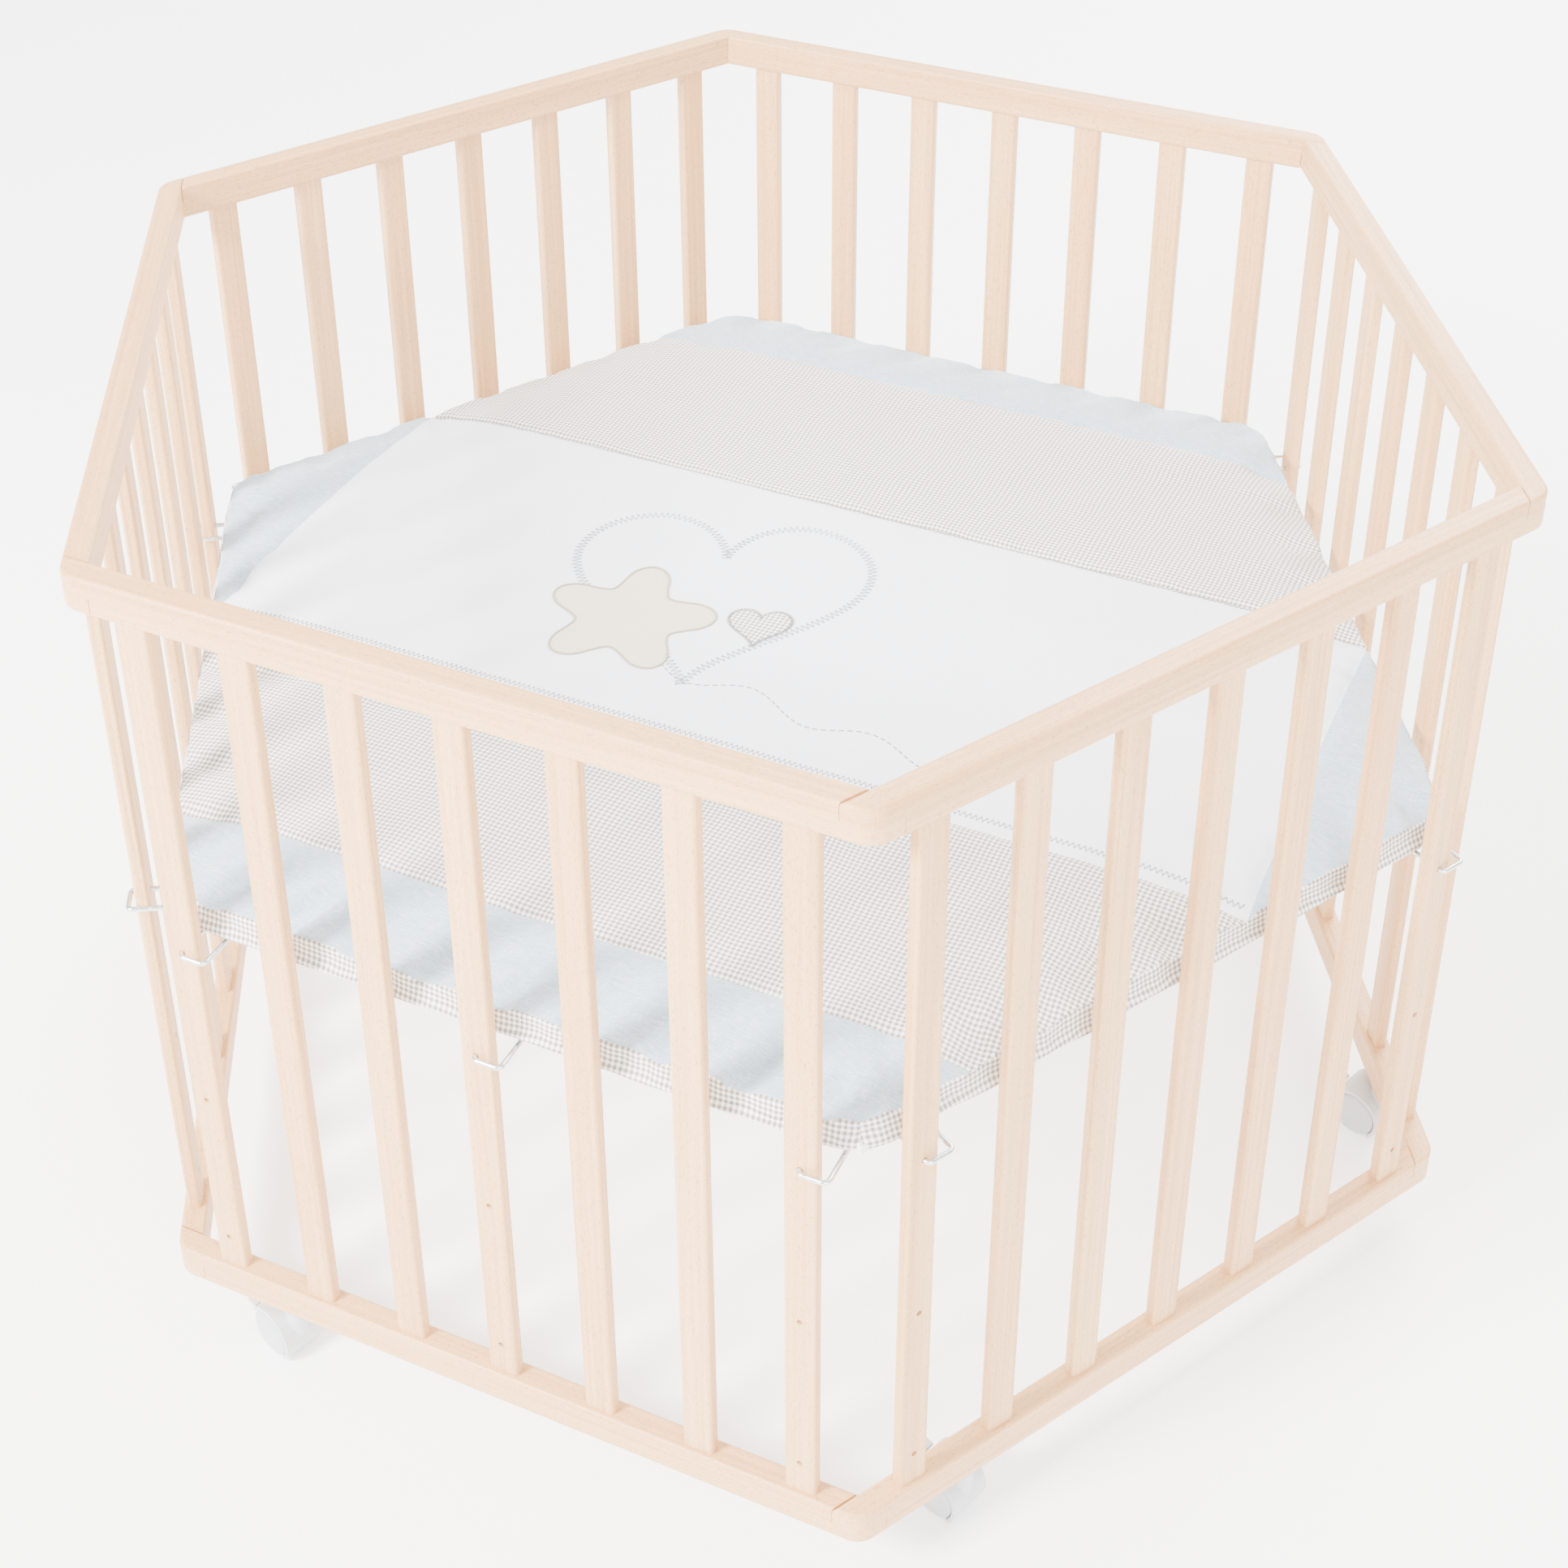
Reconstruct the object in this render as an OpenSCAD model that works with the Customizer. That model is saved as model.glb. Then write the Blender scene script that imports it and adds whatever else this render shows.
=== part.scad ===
// Six-sided wooden playpen: six slatted panels half-lapped into a rigid ring, a two-part
// floor hung on wire hooks, a padded liner, and six hooded twin-wheel casters.
// Z = 0 is the ground. X runs along the front panel and Y points at the back panel.

/* [Frame] */
// Length of one panel, outer corner to outer corner
side = 600; // [500:5:720]
// Height of the wooden frame without its casters
frame_h = 690; // [600:5:830]
// Height of every rail
rail_h = 30; // [28:1:40]
// Thickness of every rail
rail_t = 20; // [18:1:26]
// Radius of the rails' long rounded edges
rail_round = 3; // [1:0.5:5]
// Gap left at the shoulders of the half laps
lap_gap = 0.4; // [0.1:0.1:1]

/* [Slats] */
// Width of a slat
slat_w = 25; // [20:1:32]
// Thickness of a slat
slat_t = 11; // [9:0.5:14]
// Radius of a slat's rounded edges
slat_round = 3; // [1:0.5:4]
// Distance between the centres of neighbouring slats
slat_pitch = 83; // [70:1:88]
// Depth of a slat's tenon in its rail
tenon_l = 12; // [8:1:14]
// How much narrower the tenon is than its slat, on each side
tenon_shoulder = 2; // [1:0.5:3]
// Glue gap round a tenon
glue_gap = 0.1; // [0.05:0.05:0.2]

/* [Hooks and floor heights] */
// Height of the lowest row of hook holes above the frame's underside
hook_row_z = 61; // [45:1:80]
// Distance between the rows of hook holes
hook_row_pitch = 151; // [120:1:170]
// Row that the floor hangs in: 0 is the lowest
hook_row = 2; // [0:1:2]
// Diameter of the hook wire
wire_d = 4; // [3:0.5:5]
// Diametral clearance of a hook's leg in its hole
hook_hole_gap = 0.6; // [0.2:0.1:1]
// Distance between the two legs of a hook
hook_span = 22; // [20:1:26]
// Radius of a hook's bends, at the wire's centre
hook_bend = 4; // [3.5:0.5:6]
// How far a hook reaches under the floor, past the rails' inner faces
hook_reach = 22; // [16:1:30]

/* [Floor] */
// Thickness of the floor boards
floor_t = 8; // [6:1:12]
// Gap between the floor's edge and the outer faces of the panels
floor_inset = 31; // [28:1:36]
// Gap along the joint between the two boards
board_gap = 1; // [0.5:0.5:3]
// Width of the batten under the joint
batten_w = 44; // [36:1:60]
// Height of the batten
batten_h = 18; // [12:1:24]
// Gap between the batten's ends and the edge of the floor
batten_setback = 48; // [44:1:80]
// Diameter of the floor screws' shank
screw_d = 3.5; // [3:0.5:4]
// Distance between neighbouring floor screws
screw_pitch = 260; // [150:10:300]
// Gap left between pieces that rest on one another but move apart
rest_gap = 0.3; // [0.2:0.1:0.5]

/* [Padded liner] */
// Thickness of the liner above the floor
pad_t = 24; // [14:1:40]
// Gap between the liner's edge and the outer faces of the panels
pad_inset = 24; // [22:0.5:26]
// How far the liner's corners are cut back
pad_corner_cut = 8; // [2:1:20]
// Play between the floor's edge and the skirt of the liner that hangs round it
skirt_play = 1; // [0.5:0.5:2]

/* [Casters] */
// Height of a caster, from the ground to the frame's underside
caster_h = 50; // [48:1:60]
// Distance of a caster's stem from halfway between its panel's first two slats
caster_off = 10.5; // [0:0.5:12]
// Angle that the casters are turned to at rest
caster_turn = 20; // [0:1:45]
// Distance from the stem's axis back to the axle
trail = 15; // [13:1:17]
// Wheel diameter
wheel_d = 40; // [36:1:42]
// Width of one wheel, with its domed cover
wheel_w = 14; // [12:0.5:15]
// Thickness of the hood's central web
web_t = 12; // [10:0.5:14]
// Gap between the wheels and the web beside them
wheel_side_gap = 0.6; // [0.4:0.1:1]
// Gap between the wheels' treads and the hood over them
hood_gap = 1.2; // [1:0.1:2]
// Thickness of the hood's shell
hood_wall = 2.8; // [2:0.1:3.2]
// Axle diameter
axle_d = 5; // [4:0.5:6]
// Stem diameter
stem_d = 8; // [7:0.5:9]
// Radial clearance of a wheel on its axle and of a stem in its socket
running_gap = 0.05; // [0.02:0.01:0.1]
// Wall of the socket that is pressed into the rail
socket_wall = 1.5; // [1:0.1:2]
// Depth of the socket in the rail
socket_depth = 20; // [16:1:22]

/* [Hidden] */
$fn = 96;
EPS = 0.01;
ARRIS_STEPS = 4;
TURN_STEPS = 8;
PANELS = ["front", "front_right", "back_right", "back", "back_left", "front_left"];
LAST = len(PANELS) - 1;
SLATS = 7;
apothem = side * sqrt(3) / 2;
slat_l = frame_h - 2 * rail_h;
hook_z = caster_h + hook_row_z + hook_row * hook_row_pitch;
floor_z = hook_z + wire_d / 2 + rest_gap;
liner_z = floor_z + floor_t + rest_gap;
slat_face_y = (rail_t - slat_t) / 2;
hook_out_y = slat_face_y - hook_bend;
hook_in_y = rail_t + hook_reach;

// Corner bolts, M6: the shank passes the lower tongue and ends in an insert in the upper one
bolt_d = 6;
bolt_head_d = 10;
bolt_head_h = 4;
bolt_head_gap = 0.5;
bolt_sink = 5;
bolt_play = 0.3;
insert_d = 10;
insert_l = min(11, rail_h / 2 - 3);
bolt_in = insert_l - 1;
bolt_r_at = rail_t / sqrt(3);

// Caster, measured from the stem's axis at the frame's underside
caster_x = slat_x(0.5) + caster_off;
wheel_r = wheel_d / 2;
axle_z = wheel_r - caster_h;
cavity_r = wheel_r + hood_gap;
hood_r = cavity_r + hood_wall;
wheel_in = web_t / 2 + wheel_side_gap;
wheel_out = wheel_in + wheel_w;
cover_h = 2.4;
tread_chamfer = 0.8;
hood_w = 2 * (wheel_out - cover_h);
axle_l = 2 * (wheel_out - cover_h - 1.5);
boss_r = axle_d / 2 + 5.5;
collar_r = stem_d / 2 + 5;
flange_h = 1.5;
flange_r = collar_r;
stem_foot = 8;
brake_x = -11;
brake_z = 8;
brake_t = 6;
brake_gap = 0.3;
brake_boss_r = 3.6;
brake_pin_r = 1.5;
pedal_x = -(hood_r + 1.4);
pedal_l = 11;
pedal_w = 26;
pedal_t = 3;

function parts_of(words) = [for (p = PANELS, w = words) str(p, "_", w)];

// ---- Places ----

// Panel k's own frame: x along the panel, y inwards from its outer face
module at_panel(k) {
    rotate([0, 0, 60 * k]) translate([0, -apothem, 0]) children();
}

function slat_x(i) = (i - (SLATS - 1) / 2) * slat_pitch;

// Hooks hold the first and last slat of each panel, and the middle one at the boards' joint
function has_hook(k, i) = i == 0 || i == SLATS - 1 || (i == (SLATS - 1) / 2 && k % 3 == 0);

module at_each_hook() {
    for (k = [0:LAST]) for (i = [0:SLATS - 1]) if (has_hook(k, i))
        at_panel(k) translate([slat_x(i), 0, hook_z]) children();
}

// Middle of each half lap, where the corner bolts stand
module at_each_corner() {
    for (k = [0:LAST]) at_panel(k)
        translate([-side / 2, 0, 0]) rotate([0, 0, 60]) translate([bolt_r_at, 0, 0]) children();
}

// Caster k's stem axis, turned to the way the casters trail
module at_caster(k) {
    rotate([0, 0, 60 * k])
        translate([caster_x, rail_t / 2 - apothem, caster_h])
            rotate([0, 0, -60 * k - caster_turn]) children();
}

module at_axle(k) {
    at_caster(k) translate([-trail, 0, axle_z]) children();
}

// ---- Rails ----

// The neighbour's frame at this panel's corner: s is -1 at the left end and 1 at the right
module at_end(s) {
    translate([s * side / 2, 0, 0]) rotate([0, 0, 60 * s]) children();
}

// Distance along a rail's outer face from the sharp corner to where its turn starts
turn_d = rail_t / sqrt(3);

// The turn at end s, about the ring's inner corner, set in by o
function turn(s, o) = [for (n = [0:TURN_STEPS]) let (a = (s < 0 ? 210 : 270) + 60 * n / TURN_STEPS)
    [s * (side / 2 - turn_d) + (rail_t - o) * cos(a), rail_t + (rail_t - o) * sin(a)]];

// Where the neighbour's outer face meets this rail's inner face, both set in by o
function far_corner(s, o) = [s * (side / 2 + turn_d - sqrt(3) * o), rail_t - o];

// A rail's outline in plan, set in by o, counter-clockwise
function rail_outline(o) = concat([far_corner(-1, o)], turn(-1, o), turn(1, o), [far_corner(1, o)]);

// How far the rounded edges set the outline in, and at what height, from the bottom up
function edge_levels() = let (r = rail_round, angles = [for (n = [0:ARRIS_STEPS]) 90 * n / ARRIS_STEPS]) concat(
    [for (a = angles) [r - r * sin(a), r - r * cos(a)]],
    [for (a = angles) [r - r * cos(a), rail_h - r + r * sin(a)]]);

// Rail with both ends full height, rounded along every edge
module rail_blank() {
    levels = edge_levels();
    n = len(rail_outline(0));
    top = (len(levels) - 1) * n;
    polyhedron(
        [for (l = levels, p = rail_outline(l[0])) [p[0], p[1], l[1]]],
        concat(
            [[for (j = [0:n - 1]) j], [for (j = [n - 1:-1:0]) top + j]],
            [for (i = [0:n:top - n], j = [0:n - 1]) let (j1 = (j + 1) % n) [i + j, i + n + j, i + n + j1, i + j1]]));
}

// Everything beyond the shoulder that stands against the neighbour's inner face
module beyond_shoulder(s) {
    at_end(s) translate([-side, -rail_t, 0]) cube([2 * side, 2 * rail_t + lap_gap, rail_h]);
}

// The left end keeps its upper half and the right end its lower half
module rail() {
    difference() {
        rail_blank();
        translate([0, 0, rail_h / 2]) beyond_shoulder(1);
        translate([0, 0, -rail_h / 2]) beyond_shoulder(-1);
    }
}

// A mortise for each slat, opening at the height z and depth d below it
module mortises(z, d) {
    for (i = [0:SLATS - 1])
        translate([slat_x(i), rail_t / 2, z - d / 2])
            cube([tenon_w() + 2 * glue_gap, tenon_t() + 2 * glue_gap, d], center = true);
}

// Clearance hole and head recess in the right, lower tongue
module bolt_hole() {
    at_end(1) rotate([0, 0, 60]) translate([bolt_r_at, 0, 0]) {
        translate([0, 0, -EPS]) cylinder(d = bolt_d + 2 * bolt_play, h = rail_h);
        translate([0, 0, -EPS]) cylinder(d = bolt_head_d + 2 * bolt_head_gap, h = bolt_sink + EPS);
    }
}

// Blind seat for the insert in the left, upper tongue
module insert_hole() {
    translate([-side / 2, 0, 0]) rotate([0, 0, 60]) translate([bolt_r_at, 0, rail_h / 2 - EPS])
        cylinder(d = insert_d, h = insert_l + EPS);
}

module joined_rail() {
    difference() {
        rail();
        bolt_hole();
        insert_hole();
    }
}

module top_rail(k) {
    color("burlywood") at_panel(k) translate([0, 0, caster_h + frame_h - rail_h])
        difference() {
            joined_rail();
            mortises(tenon_l + glue_gap, tenon_l + glue_gap + EPS);
        }
}

module bottom_rail(k) {
    color("burlywood") at_panel(k) translate([0, 0, caster_h])
        difference() {
            joined_rail();
            translate([0, 0, EPS]) mortises(rail_h, tenon_l + glue_gap + EPS);
            translate([caster_x, rail_t / 2, -EPS])
                cylinder(d = socket_d(), h = socket_depth + EPS);
        }
}

// ---- Slats ----

function tenon_w() = slat_w - 2 * tenon_shoulder;
function tenon_t() = slat_t - 2 * tenon_shoulder;

module slat_section() {
    w = slat_w / 2 - slat_round;
    t = slat_t / 2 - slat_round;
    square([2 * w, slat_t], center = true);
    square([slat_w, 2 * t], center = true);
    for (x = [-w, w], y = [-t, t]) translate([x, y]) circle(slat_round);
}

module slat(hooked) {
    difference() {
        union() {
            linear_extrude(slat_l) slat_section();
            translate([0, 0, slat_l / 2])
                cube([tenon_w(), tenon_t(), slat_l + 2 * tenon_l], center = true);
        }
        if (hooked) for (r = [0:2])
            translate([0, 0, hook_row_z + r * hook_row_pitch - rail_h])
                rotate([90, 0, 0]) cylinder(d = wire_d + hook_hole_gap, h = 2 * slat_t, center = true);
    }
}

module slats(k) {
    color("bisque") at_panel(k) for (i = [0:SLATS - 1])
        translate([slat_x(i), rail_t / 2, caster_h + rail_h]) slat(has_hook(k, i));
}

// ---- Corner bolts ----

module bolt() {
    head_z = bolt_sink - bolt_head_h;
    translate([0, 0, head_z]) difference() {
        cylinder(d = bolt_head_d, h = bolt_head_h);
        translate([0, 0, -EPS]) cylinder(d = 5 / cos(30), h = 2.5, $fn = 6);
    }
    translate([0, 0, bolt_sink - EPS])
        cylinder(d = bolt_d - 2 * running_gap, h = rail_h / 2 - bolt_sink + bolt_in);
}

module insert() {
    difference() {
        cylinder(d = insert_d, h = insert_l);
        translate([0, 0, -EPS]) cylinder(d = bolt_d, h = insert_l + 2 * EPS);
    }
}

module corner_bolts(z) {
    color("silver") at_each_corner() translate([0, 0, z]) bolt();
}

module corner_inserts(z) {
    color("gold") at_each_corner() translate([0, 0, z + rail_h / 2]) insert();
}

// ---- Hooks ----

module wire(l) {
    rotate([-90, 0, 0]) cylinder(d = wire_d, h = l, $fn = 32);
}

module wire_bend() {
    rotate_extrude(angle = 90, $fn = 48) translate([hook_bend, 0]) circle(d = wire_d, $fn = 32);
}

// One leg passes through the slat and the other beside it; both reach under the floor.
// The bends start at the slat's outer face, so the leg in the hole is straight.
module hook() {
    translate([0, slat_face_y, 0]) wire(hook_in_y - slat_face_y);
    translate([hook_span, slat_face_y, 0]) wire(hook_in_y - slat_face_y);
    translate([hook_bend, hook_out_y, 0]) rotate([0, 0, -90]) wire(hook_span - 2 * hook_bend);
    translate([hook_bend, slat_face_y, 0]) rotate([0, 0, 180]) wire_bend();
    translate([hook_span - hook_bend, slat_face_y, 0]) rotate([0, 0, 270]) wire_bend();
}

module floor_hooks() {
    color("silver") at_each_hook() hook();
}

// ---- Floor ----

// Corners of a hexagon whose sides lie d inside the panels' outer faces
function inset_r(d) = (apothem - d) * 2 / sqrt(3);

// The half of the floor on side s of the joint
module board(s) {
    r = inset_r(floor_inset);
    y = apothem - floor_inset;
    x0 = board_gap / 2;
    difference() {
        translate([0, 0, floor_z]) linear_extrude(floor_t)
            polygon([[s * x0, -y], [s * r / 2, -y], [s * r, 0], [s * r / 2, y], [s * x0, y]]);
        at_each_screw(s) screw_seat();
    }
}

module at_each_screw(s) {
    for (n = [-1.5:1.5])
        translate([s * batten_w / 4, n * screw_pitch, floor_z + floor_t]) children();
}

// Countersink and clearance hole, from the board's top face down
module screw_seat() {
    translate([0, 0, -screw_d]) cylinder(d1 = screw_d + 0.4, d2 = 2 * screw_d + 0.4, h = screw_d + EPS);
    translate([0, 0, -floor_t - EPS]) cylinder(d = screw_d + 0.4, h = floor_t + 2 * EPS);
}

module screw() {
    translate([0, 0, -screw_d - 0.2]) cylinder(d1 = screw_d, d2 = 2 * screw_d, h = screw_d);
    translate([0, 0, -screw_l()]) cylinder(d = screw_d, h = screw_l() - screw_d);
}

function screw_l() = floor_t + batten_h - 5;

module floor_board_left() {
    color("whitesmoke") board(-1);
}

module floor_board_right() {
    color("whitesmoke") board(1);
}

module floor_batten() {
    l = 2 * (apothem - floor_inset - batten_setback);
    color("burlywood") difference() {
        translate([-batten_w / 2, -l / 2, floor_z - batten_h]) cube([batten_w, l, batten_h]);
        for (s = [-1, 1]) at_each_screw(s)
            translate([0, 0, -screw_l() - 1]) cylinder(d = screw_d + 0.1, h = screw_l());
    }
}

module floor_screws() {
    color("silver") for (s = [-1, 1]) at_each_screw(s) screw();
}

// ---- Padded liner ----

module hexagon(r) {
    polygon([for (a = [0:60:300]) r * [cos(a), sin(a)]]);
}

// Thick pad with a skirt that hangs round the floor's edge
module padded_liner() {
    r = inset_r(pad_inset);
    color("aliceblue") difference() {
        translate([0, 0, floor_z]) linear_extrude(floor_t + pad_t) intersection() {
            hexagon(r);
            circle(r - pad_corner_cut, $fn = 180);
        }
        translate([0, 0, floor_z - EPS]) linear_extrude(floor_t + rest_gap + EPS)
            hexagon(inset_r(floor_inset - skirt_play));
    }
}

// ---- Casters ----

function socket_d() = stem_d + 2 * running_gap + 2 * socket_wall;

module caster_sockets() {
    color("white") for (k = [0:LAST]) at_caster(k) difference() {
        union() {
            cylinder(d = socket_d(), h = socket_depth - 0.5);
            translate([0, 0, -flange_h]) cylinder(r = flange_r, h = flange_h);
        }
        translate([0, 0, -flange_h - EPS])
            cylinder(d = stem_d + 2 * running_gap, h = socket_depth - 2);
    }
}

module caster_stem(k) {
    foot = axle_z + stem_foot;
    color("silver") at_caster(k) translate([0, 0, foot])
        cylinder(d = stem_d, h = socket_depth - 5 - foot);
}

// Cylinder of radius r and length l along the axle
module along_axle(r, l) {
    rotate([90, 0, 0]) cylinder(r = r, h = l, center = true);
}

// Sector that opens backwards and down, from angle a round to 315 degrees
module rear_opening(a, l) {
    span = 315 - a;
    rotate([90, 0, 0]) linear_extrude(l, center = true)
        polygon(concat([[0, 0]], [for (n = [0:3]) 3 * hood_r * [cos(a + n * span / 3), sin(a + n * span / 3)]]));
}

// Wheels run in the two side cavities, the stem and the brake sit in the central web
module caster_hood(k) {
    color("white") at_axle(k) difference() {
        union() {
            along_axle(hood_r, hood_w);
            translate([trail, 0, 0]) cylinder(r = collar_r, h = -axle_z - flange_h - rest_gap);
        }
        for (s = [-1, 1]) translate([0, s * (web_t + hood_w) / 4 + s * EPS, 0])
            along_axle(cavity_r, (hood_w - web_t) / 2 + 2 * EPS);
        for (s = [-1, 1]) translate([0, s * (web_t / 2 + hood_w / 2), 0]) rear_opening(150, hood_w);
        difference() {
            rear_opening(170, web_t + 1);
            along_axle(boss_r, web_t + 2);
        }
        along_axle(axle_d / 2, web_t + 1);
        translate([trail, 0, stem_foot]) cylinder(d = stem_d, h = -axle_z);
        translate([brake_x, 0, brake_z]) brake_pocket();
    }
}

module brake_pocket() {
    slot = brake_t + 2 * brake_gap;
    along_axle(brake_pin_r + running_gap, web_t - 1.2);
    along_axle(brake_boss_r + 1, slot);
    translate([-hood_r, -slot / 2, -9]) cube([hood_r, slot, 9 + brake_boss_r + 0.4]);
}

module caster_axle(k) {
    color("silver") at_axle(k) along_axle(axle_d / 2, axle_l);
}

// Half profile of a wheel: hub, disc, rim and domed cover, in [radius, distance along the axle]
module wheel_profile() {
    bore = axle_d / 2 + running_gap;
    side_w = wheel_out - cover_h;
    rim = wheel_r - 3;
    polygon([
        [bore, wheel_in], [boss_r - 2, wheel_in], [boss_r - 2, side_w - 4], [rim, side_w - 4],
        [rim, wheel_in], [wheel_r - tread_chamfer, wheel_in], [wheel_r, wheel_in + tread_chamfer],
        [wheel_r, side_w - tread_chamfer], [wheel_r - tread_chamfer, side_w],
        for (n = [0:4]) [(wheel_r - 1.5) * cos(18 * n), side_w + cover_h * sin(18 * n)],
        [0, wheel_out], [0, side_w - 1], [bore, side_w - 1]]);
}

module caster_wheels(k) {
    color("white") at_axle(k) for (s = [0, 1])
        mirror([0, s, 0]) rotate([-90, 0, 0]) rotate_extrude() wheel_profile();
}

module caster_brake(k) {
    arm_z = brake_z - 2;
    color("whitesmoke") at_axle(k) {
        translate([brake_x, 0, brake_z]) along_axle(brake_boss_r, brake_t);
        translate([brake_x, 0, brake_z]) along_axle(brake_pin_r, web_t - 1.4);
        translate([pedal_x - pedal_l / 2, -brake_t / 2, arm_z - pedal_t / 2])
            cube([brake_x - pedal_x + pedal_l / 2, brake_t, pedal_t]);
        translate([pedal_x - pedal_l, -pedal_w / 2, arm_z - pedal_t / 2])
            cube([pedal_l, pedal_w, pedal_t]);
    }
}

// ---- The assembly ----

for (k = [0:LAST]) {
    top_rail(k);
    bottom_rail(k);
    slats(k);
    caster_hood(k);
    caster_stem(k);
    caster_axle(k);
    caster_wheels(k);
    caster_brake(k);
}
caster_sockets();
corner_bolts(caster_h + frame_h - rail_h);  // top_corner_bolts
corner_bolts(caster_h);  // bottom_corner_bolts
corner_inserts(caster_h + frame_h - rail_h);  // top_corner_inserts
corner_inserts(caster_h);  // bottom_corner_inserts
floor_hooks();
floor_board_left();
floor_board_right();
floor_batten();
floor_screws();
padded_liner();
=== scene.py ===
"""Six-sided wooden playpen on casters: materials, the padded liner and its stitching, and a plain studio."""

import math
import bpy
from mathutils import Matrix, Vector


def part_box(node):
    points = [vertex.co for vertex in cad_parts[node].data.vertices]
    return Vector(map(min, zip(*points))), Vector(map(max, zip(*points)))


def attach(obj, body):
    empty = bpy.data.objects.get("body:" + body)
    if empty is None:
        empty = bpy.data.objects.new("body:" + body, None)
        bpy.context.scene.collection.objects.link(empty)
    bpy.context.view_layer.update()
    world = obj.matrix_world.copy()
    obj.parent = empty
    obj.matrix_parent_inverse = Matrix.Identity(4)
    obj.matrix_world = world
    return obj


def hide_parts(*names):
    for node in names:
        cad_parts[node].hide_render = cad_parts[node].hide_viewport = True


bl_info = {
    "name": "Slatted Playpen",
    "version": (1, 0, 0),
    "blender": (4, 5, 0),
    "location": "View3D > Sidebar > Playpen",
    "description": "Builds a padded liner for a slatted playpen and finishes its wood, wire and plastic",
    "category": "Object",
}

import bmesh
import bpy
from bpy.props import FloatProperty, FloatVectorProperty, IntProperty, PointerProperty
from mathutils import Matrix, Quaternion, Vector, noise
from mathutils.bvhtree import BVHTree

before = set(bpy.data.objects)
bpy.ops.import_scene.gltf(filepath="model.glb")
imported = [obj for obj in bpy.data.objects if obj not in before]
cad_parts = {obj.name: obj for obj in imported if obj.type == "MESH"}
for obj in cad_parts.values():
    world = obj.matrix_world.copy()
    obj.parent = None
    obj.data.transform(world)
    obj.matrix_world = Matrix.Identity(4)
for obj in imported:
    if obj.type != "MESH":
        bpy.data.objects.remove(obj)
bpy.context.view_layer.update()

MM = 0.001
SIDES = 6
LINER_LO, LINER_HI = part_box("padded_liner")
APOTHEM = LINER_HI.y
CORNER_R = LINER_HI.x
PANELS = ["front", "front_right", "back_right", "back", "back_left", "front_left"]

# The boards are 8 mm thick and the liner's underside lies 0.3 mm above them
UNDER_RISE = 8.5 * MM
# How far below the top of its space the liner is cut, which leaves room for the filling
FILL_ROOM = 5 * MM
# Softness of the liner's rounded corners
CORNER_SOFT = 4 * MM
# How far the finished cover may stand proud of its space
PROUD = 1.5 * MM
SIM_FRAMES = 20
# Half width of the groove that a seam draws in the top
SEAM_HALF = 3.5 * MM
# Depth of the puckers along a seam, and how fast they die out beside it
PUCKER_DEPTH = 0.9 * MM
PUCKER_REACH = 14 * MM
# Depth of the broad, shallow unevenness of the wadding
WADDING_DEPTH = 1.2 * MM
# The border is gathered within this distance of the edge, to this depth, and is drawn in a little
GATHER_REACH = 9 * MM
GATHER_DEPTH = 1.8 * MM
DRAWN_IN = 0.8 * MM
# Height of the scallops along the border's lower edge
SCALLOP_RISE = 3.2 * MM
# Size of the zigzag stitch beside the band's seams, and how high threads lie on the cloth
ZIGZAG_PITCH = 4.6 * MM
ZIGZAG_WIDTH = 5.5 * MM
THREAD_LIFT = 0.3 * MM
# Height of the sewn-on shapes over the cloth
SHAPE_LIFT = 0.9 * MM
# Places of the cloths in the liner's list of materials
TOP, BLUE, CHECK, BORDER = 0, 1, 2, 3
# How deep the folds are along each side, as a share of the deepest
FOLD_SHARES = (1.0, 0.55, 0.4, 0.55, 0.5, 0.6)
# The border from the top edge down: how far it lies inside the edge, in mm, and how far down
BORDER_PROFILE = [
    (0.0, 0.12),
    (-0.6, 0.3),
    (-0.8, 0.5),
    (-0.6, 0.7),
    (0.2, 0.88),
    (1.6, 0.985),
    (3.4, 0.97),
    (4.2, 0.8),
]


# ---- Colours and materials ----


def linear(code):
    """Linear RGB of an sRGB hex colour such as #F3E0CB."""
    channels = [int(code[n : n + 2], 16) / 255 for n in (1, 3, 5)]
    return [c / 12.92 if c <= 0.04045 else ((c + 0.055) / 1.055) ** 2.4 for c in channels]


def rgba(colour):
    return (*colour[:3], 1.0)


def add(tree, kind, inputs=None, **settings):
    """Adds a shader node with its settings. An input is either a value or the socket that feeds it."""
    made = tree.nodes.new("ShaderNode" + kind)
    for name, value in settings.items():
        setattr(made, name, value)
    for name, value in (inputs or {}).items():
        if isinstance(value, bpy.types.NodeSocket):
            tree.links.new(value, made.inputs[name])
        else:
            made.inputs[name].default_value = value
    return made


def surface(name, **values):
    """A new material, its tree and its shader. values are set on the shader's own sockets."""
    made = bpy.data.materials.new(name)
    made.use_nodes = True
    tree = made.node_tree
    shader = tree.nodes["Principled BSDF"]
    for key, value in values.items():
        shader.inputs[key.replace("_", " ")].default_value = value
    return made, tree, shader


def coordinates(tree, turn=0.0, size=(1.0, 1.0, 1.0)):
    """The piece's own coordinates in units of size, after it is turned back by turn about Z."""
    place = add(tree, "TexCoord")
    return add(
        tree,
        "Mapping",
        {"Vector": place.outputs["Object"], "Rotation": (0, 0, turn), "Scale": size},
        vector_type="TEXTURE",
    ).outputs[0]


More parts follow.
